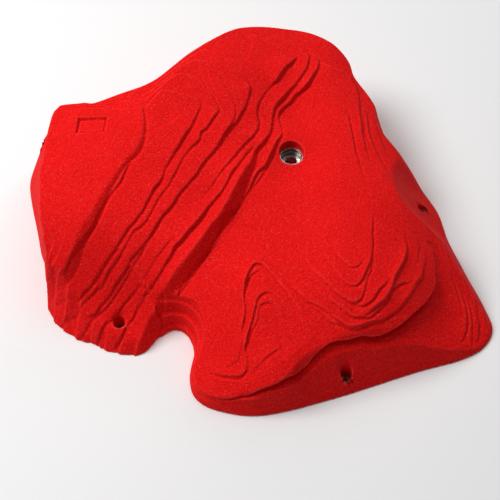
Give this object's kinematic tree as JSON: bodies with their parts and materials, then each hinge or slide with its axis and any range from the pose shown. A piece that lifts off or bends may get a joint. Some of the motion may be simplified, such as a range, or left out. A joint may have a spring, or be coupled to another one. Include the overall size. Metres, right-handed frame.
{
  "type": "climbing hold",
  "caption": "Large cast climbing hold with stepped rock layers, an undercut lip, a steel-lined bolt hole and washered screw holes, which bolts flat to a climbing wall",
  "frame": {"origin": "on the back plane, at the axis of the main bolt hole", "axes": "+Z out of the climbing wall, +X along the hold's length, +Y towards the hold's top edge"},
  "size_m": [0.4498, 0.4101, 0.1091],
  "materials": {
    "cast_red": "matte, sandy cast polyurethane",
    "liner_steel": "turned, zinc plated",
    "washer_steel": "bright plated"
  },
  "bodies": {
    "root": {"hold_body": "cast_red", "bolt_sleeve": "liner_steel", "load_washer": "washer_steel", "screw_washer_front_left": "washer_steel", "screw_washer_front_right": "washer_steel", "screw_washer_right": "washer_steel", "screw_washer_left": "washer_steel"}
  },
  "joints": []
}
